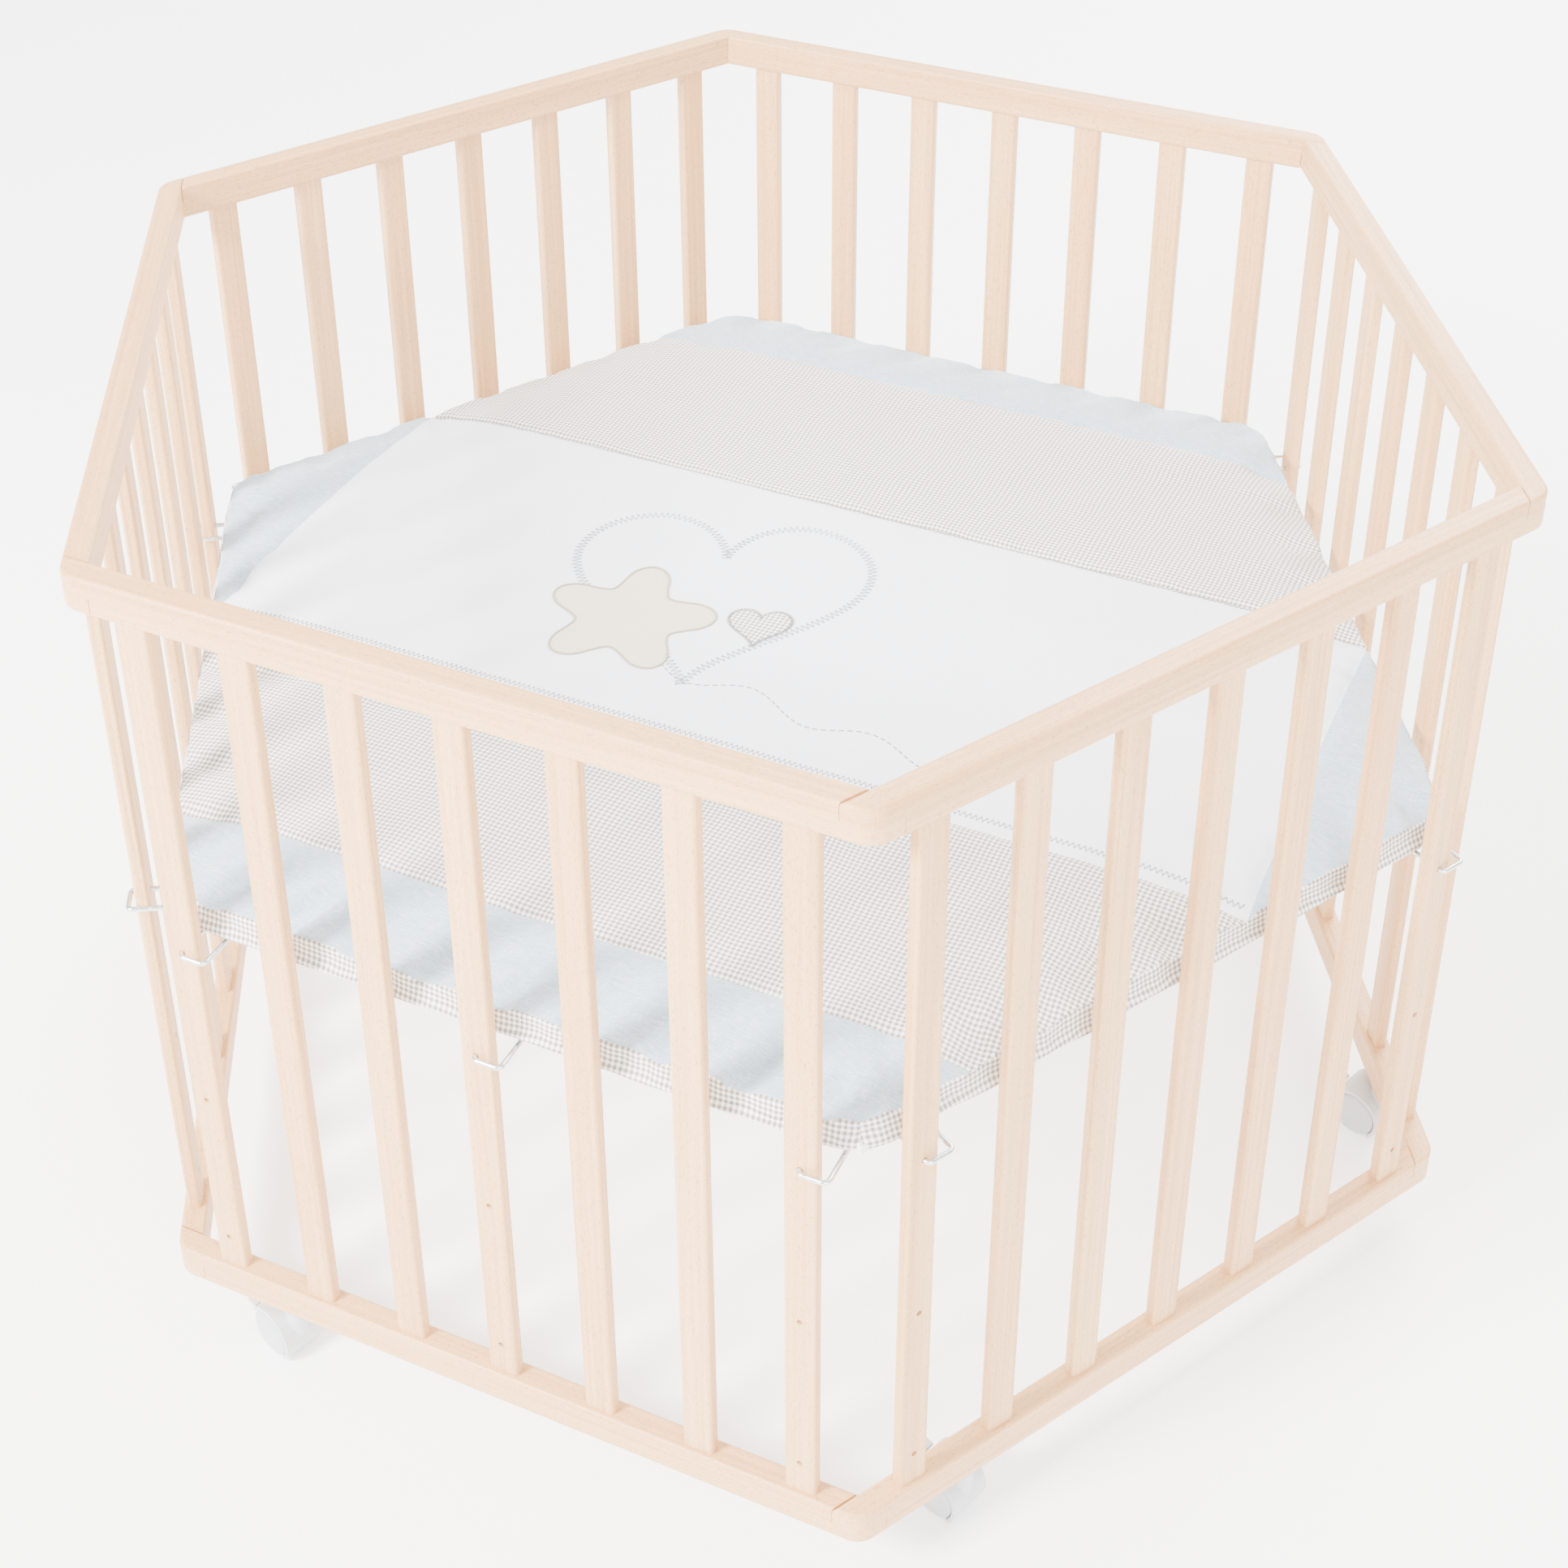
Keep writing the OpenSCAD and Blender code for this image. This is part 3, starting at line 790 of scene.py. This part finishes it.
class PlaypenWood(bpy.types.PropertyGroup):
    light: colour("Light", "Palest wood", "#E0B47F")
    warm: colour("Warm", "Pinker boards", "#D5A26E")
    dark: colour("Rings", "Growth rings", "#B98755")
    fleck: colour("Flecks", "Ray flecks", "#99683C")
    ring_strength: FloatProperty(
        name="Ring strength", description="How clearly growth rings show", default=0.6, min=0, max=1
    )
    fleck_strength: FloatProperty(
        name="Fleck strength", description="How clearly flecks show", default=0.75, min=0, max=1
    )


class PlaypenLiner(bpy.types.PropertyGroup):
    cells: IntProperty(name="Cells", description="Quads along one side of the liner", default=60, min=20, max=100)
    band_half: length("Band", "Half the depth of the white band", 183 * MM)
    band_end: length("Band end", "Half the length of the white band", 458 * MM)
    strip_from: length("Strip", "Distance of the outer strips from the middle", 407 * MM)
    seam_depth: length("Seam depth", "How far seams draw the cover in", 2.6 * MM)
    fold_pitch: length("Fold pitch", "Distance between the folds at the border", 62 * MM)
    fold_reach: length("Fold reach", "How far the folds run inwards", 105 * MM)
    fold_depth: length("Fold depth", "Depth of the folds", 8 * MM)
    fill_rise: length("Filling", "Most that the filling lifts the cover", 7 * MM)
    check_pitch: length("Check pitch", "Repeat of the gingham", 4.1 * MM)
    check_drift: length("Check drift", "How far the rows of checks wander", 9 * MM)
    white: colour("White", "Percale", "#DFE3EC")
    gingham_light: colour("Gingham white", "Undyed checks", "#F3F1EC")
    gingham_mid: colour("Gingham half-tone", "Checks where one set of yarn is dyed", "#C0BBB4")
    gingham_dark: colour("Gingham dark", "Checks where both sets are dyed", "#857F79")
    melange: colour("Melange", "Main tone of the blue-grey cloth", "#99ABB7")
    melange_light: colour("Melange light", "White yarn in the blue-grey cloth", "#BECCD6")
    melange_dark: colour("Melange dark", "Slubs in the blue-grey cloth", "#889DAB")


class PlaypenMotif(bpy.types.PropertyGroup):
    thread: colour("Thread", "Grey stitching", "#85827E")
    pale_thread: colour("Pale thread", "Stitching of the large heart", "#A2A4A8")
    felt: colour("Shape", "Sewn-on star", "#CFC6B2")
    edge: colour("Edge", "Stitching round the star", "#A89C84")
    thread_r: length("Thread radius", "Radius of the stitching", 0.45 * MM)
    margin: length("Margin", "Distance of the zigzag rows from their seams", 11 * MM)


# ---- Operators ----


class PLAYPEN_OT_stage(bpy.types.Operator):
    """Floor, soft light and the camera"""

    bl_idname = "playpen.stage"
    bl_label = "Stage"

    def execute(self, context):
        look = context.scene.playpen_stage
        half = 40.0
        corners = [(-half, -half, 0), (half, -half, 0), (half, half, 0), (-half, half, 0)]
        made, tree, shader = surface("matt_floor", Roughness=0.9)
        cloud = speckle(tree, coordinates(tree, 0, (0.9,) * 3), 2.0, 0.3, 0.7)
        tone = blend_colours(tree, cloud, look.floor, [0.99 * c for c in look.floor])
        tree.links.new(tone, shader.inputs["Base Color"])
        shader.inputs["Emission Color"].default_value = rgba(look.floor)
        shader.inputs["Emission Strength"].default_value = look.glow
        floor = new_piece("floor_plane", corners, [[0, 1, 2, 3]], [made])

        world = bpy.data.worlds.new("studio")
        world.use_nodes = True
        world.node_tree.nodes["Background"].inputs["Color"].default_value = (1, 1, 1, 1)
        world.node_tree.nodes["Background"].inputs["Strength"].default_value = look.sky
        context.scene.world = world

        lamps = [
            ("key", (-1.7, -3.2, 2.9), 1.1, look.key),
            ("fill", (2.4, -2.6, 2.2), 2.4, look.fill),
            ("back", (0.6, 3.0, 2.9), 3.0, look.back),
        ]
        for name, place, size, watts in lamps:
            lamp = bpy.data.lights.new(name, "AREA")
            lamp.energy = watts
            lamp.size = size
            made = bpy.data.objects.new(name, lamp)
            made.location = place
            made.rotation_euler = (Vector((0, 0, 0.4)) - made.location).to_track_quat("-Z", "Y").to_euler()
            context.scene.collection.objects.link(made)

        camera = bpy.data.cameras.new("camera")
        camera.lens = look.lens
        camera.sensor_width = 36.0
        camera.shift_y = look.shift
        camera.clip_end = 200.0
        made = bpy.data.objects.new("camera", camera)
        ahead = Vector((
            -math.sin(look.azimuth) * math.cos(look.elevation),
            math.cos(look.azimuth) * math.cos(look.elevation),
            -math.sin(look.elevation),
        ))
        made.location = look.place
        made.rotation_mode = "QUATERNION"
        made.rotation_quaternion = ahead.to_track_quat("-Z", "Y") @ Quaternion((0, 0, 1), look.roll)
        context.scene.collection.objects.link(made)
        context.scene.camera = made
        return {"FINISHED"}


class PLAYPEN_OT_wood(bpy.types.Operator):
    """Beech for the rails, slats and batten, and a white coat for the floor boards"""

    bl_idname = "playpen.wood"
    bl_label = "Wood"

    def execute(self, context):
        look = context.scene.playpen_wood
        slat = beech("beech_slats", look, upright=True)
        # Opposite panels run the same way, so they share a grain
        for k in range(3):
            pair = (PANELS[k], PANELS[k + 3])
            rail = beech(f"beech_rail_{60 * k}", look, turn=math.radians(60 * k))
            dress([f"{panel}_{level}_rail" for panel in pair for level in ("top", "bottom")], rail)
        dress([f"{panel}_slats" for panel in PANELS], slat)
        dress(["floor_batten"], beech("beech_batten", look, turn=math.radians(90)))
        dress(["floor_board_left", "floor_board_right"], coated_board("melamine_board"))
        return {"FINISHED"}


class PLAYPEN_OT_hardware(bpy.types.Operator):
    """Zinc plate for the hooks, bolts and screws, and brass for the inserts"""

    bl_idname = "playpen.hardware"
    bl_label = "Hardware"

    def execute(self, context):
        dress(["floor_hooks"], zinc_plate("zinc_wire", 3.0))
        dress(["top_corner_bolts", "bottom_corner_bolts", "floor_screws"], zinc_plate("zinc_bolts", 5.0))
        dress(["top_corner_inserts", "bottom_corner_inserts"], machined_brass("turned_brass"))
        return {"FINISHED"}


class PLAYPEN_OT_casters(bpy.types.Operator):
    """Nylon and steel for the casters"""

    bl_idname = "playpen.casters"
    bl_label = "Casters"

    def execute(self, context):
        hood = moulded_nylon("nylon_hood", "#BFC1C4", 0.38)
        wheel = moulded_nylon("nylon_wheel", "#B4B7BC", 0.28)
        pedal = moulded_nylon("nylon_pedal", "#C2C3C4", 0.4)
        steel = zinc_plate("zinc_stem", 4.0)
        for panel in PANELS:
            dress([f"{panel}_caster_hood"], hood)
            dress([f"{panel}_caster_wheels"], wheel)
            dress([f"{panel}_caster_brake"], pedal)
            dress([f"{panel}_caster_stem", f"{panel}_caster_axle"], steel)
        dress(["caster_sockets"], hood)
        return {"FINISHED"}


class PLAYPEN_OT_liner(bpy.types.Operator):
    """The padded liner, filled, sewn and hemmed"""

    bl_idname = "playpen.liner"
    bl_label = "Liner"

    def execute(self, context):
        look = context.scene.playpen_liner
        top_z = LINER_HI.z - FILL_ROOM
        points, faces, parts, held = liner_cage(look.cells, top_z)
        cloths = [
            percale("percale_white", look),
            chambray("chambray_melange", look),
            gingham("gingham_top", look),
        ]
        cloths += [gingham(f"gingham_border_{60 * k}", look, math.radians(60 * k), True) for k in range(3)]
        cover = new_piece("liner", points, faces, cloths)
        for face, part in zip(cover.data.polygons, parts):
            if part != "top":
                side = nearest_side(face.center.x, face.center.y)[0]
                face.material_index = BORDER + side % 3
        for seam in seam_lines(look):
            for n, p in enumerate(points):
                if p.z == top_z and seam(p.x, p.y)[0] < 5 * MM:
                    held.add(n)
        inflate(cover, held, look.fill_rise)
        cover.modifiers.new("finer", "SUBSURF").levels = 1
        fine = bpy.data.meshes.new_from_object(cover.evaluated_get(context.evaluated_depsgraph_get()))
        cover.modifiers.clear()
        cover.vertex_groups.clear()
        cover.data = fine
        cut_along_seams(fine, look)
        shape_cover(fine, look)
        keep_inside(fine, PROUD)
        close_below(fine)
        lay_cloths(fine, look)
        fine.polygons.foreach_set("use_smooth", [len(face.vertices) < 9 for face in fine.polygons])
        fine.update()
        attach(cover, "liner")
        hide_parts("padded_liner")
        return {"FINISHED"}


class PLAYPEN_OT_stitching(bpy.types.Operator):
    """Zigzag rows beside the band's seams"""

    bl_idname = "playpen.stitching"
    bl_label = "Stitching"

    def execute(self, context):
        look = context.scene.playpen_motif
        liner = context.scene.playpen_liner
        ground = Ground(bpy.data.objects["liner"])
        grey = sewing_thread("cotton_thread_grey", look.thread)
        end = liner.band_end - 4 * MM
        rows = []
        for side, margin in ((-1, look.margin), (1, 3 * MM)):
            y = side * (liner.band_half - margin)
            path = [Vector((-end, y)), Vector((end, y))]
            rows.append(zigzag(path, ZIGZAG_PITCH, ZIGZAG_WIDTH, ground, THREAD_LIFT))
        tubes("zigzag_rows", rows, look.thread_r, grey)
        return {"FINISHED"}


class PLAYPEN_OT_motif(bpy.types.Operator):
    """The sewn heart outline, the star, the small heart and the running stitch"""

    bl_idname = "playpen.motif"
    bl_label = "Motif"

    def execute(self, context):
        look = context.scene.playpen_motif
        liner = context.scene.playpen_liner
        ground = Ground(bpy.data.objects["liner"])
        grey = sewing_thread("cotton_thread_motif", look.thread)
        pale = sewing_thread("cotton_thread_pale", look.pale_thread)
        edge = sewing_thread("cotton_thread_edge", look.edge)

        big = heart(0.262, 0.245, Vector((-0.068, 0.0)), 14)
        big.append(big[0])
        tubes("heart_outline", [zigzag(big, 5.2 * MM, 8 * MM, ground, THREAD_LIFT)], look.thread_r, pale)

        middle = Vector((-0.122, -0.052))
        shape = star(0.076, middle, 8)
        sewn_shape("star", shape, middle, brushed_cotton("brushed_cotton", look.felt), ground, SHAPE_LIFT)
        tubes("star_edge", [[ground.at(*p, 0.6 * MM) for p in shape + shape[:1]]], 0.9 * MM, edge)

        middle = Vector((-0.014, -0.02))
        shape = heart(0.055, 0.052, middle, 14, 72)
        sewn_shape("small_heart", shape, middle, gingham("gingham_heart", liner), ground, SHAPE_LIFT)
        run = zigzag(shape + shape[:1], 2.6 * MM, 3 * MM, ground, 0.7 * MM)
        tubes("small_heart_edge", [run], look.thread_r, grey)

        # A loose line of running stitch that trails off in waves
        path = []
        for n in range(90):
            t = n / 89
            x = -0.066 + 0.25 * t
            y = -0.098 - 0.03 * t - 0.012 * math.sin(2.2 * math.pi * t * 2) * (1 - 0.3 * t)
            path.append(Vector((x, y)))
        tubes("running_stitch", dashes(path, 4.5 * MM, 2.6 * MM, ground, 0.35 * MM), look.thread_r, grey)
        return {"FINISHED"}


OPERATORS = [
    PLAYPEN_OT_stage,
    PLAYPEN_OT_wood,
    PLAYPEN_OT_hardware,
    PLAYPEN_OT_casters,
    PLAYPEN_OT_liner,
    PLAYPEN_OT_stitching,
    PLAYPEN_OT_motif,
]
SETTINGS = {
    "playpen_stage": PlaypenStage,
    "playpen_wood": PlaypenWood,
    "playpen_liner": PlaypenLiner,
    "playpen_motif": PlaypenMotif,
}


class PLAYPEN_PT_sidebar(bpy.types.Panel):
    bl_label = "Playpen"
    bl_space_type = "VIEW_3D"
    bl_region_type = "UI"
    bl_category = "Playpen"

    def draw(self, context):
        for operator in OPERATORS:
            self.layout.operator(operator.bl_idname)
        for name, group in SETTINGS.items():
            box = self.layout.box()
            for prop in group.__annotations__:
                box.prop(getattr(context.scene, name), prop)


def register():
    for group in (*SETTINGS.values(), *OPERATORS, PLAYPEN_PT_sidebar):
        bpy.utils.register_class(group)
    for name, group in SETTINGS.items():
        setattr(bpy.types.Scene, name, PointerProperty(type=group))


def unregister():
    for name in SETTINGS:
        delattr(bpy.types.Scene, name)
    for group in (PLAYPEN_PT_sidebar, *reversed(OPERATORS), *SETTINGS.values()):
        bpy.utils.unregister_class(group)


def main():
    register()
    bpy.ops.playpen.stage()
    bpy.ops.playpen.wood()
    bpy.ops.playpen.hardware()
    bpy.ops.playpen.casters()
    bpy.ops.playpen.liner()
    bpy.ops.playpen.stitching()
    bpy.ops.playpen.motif()


if __name__ == "__main__":
    main()
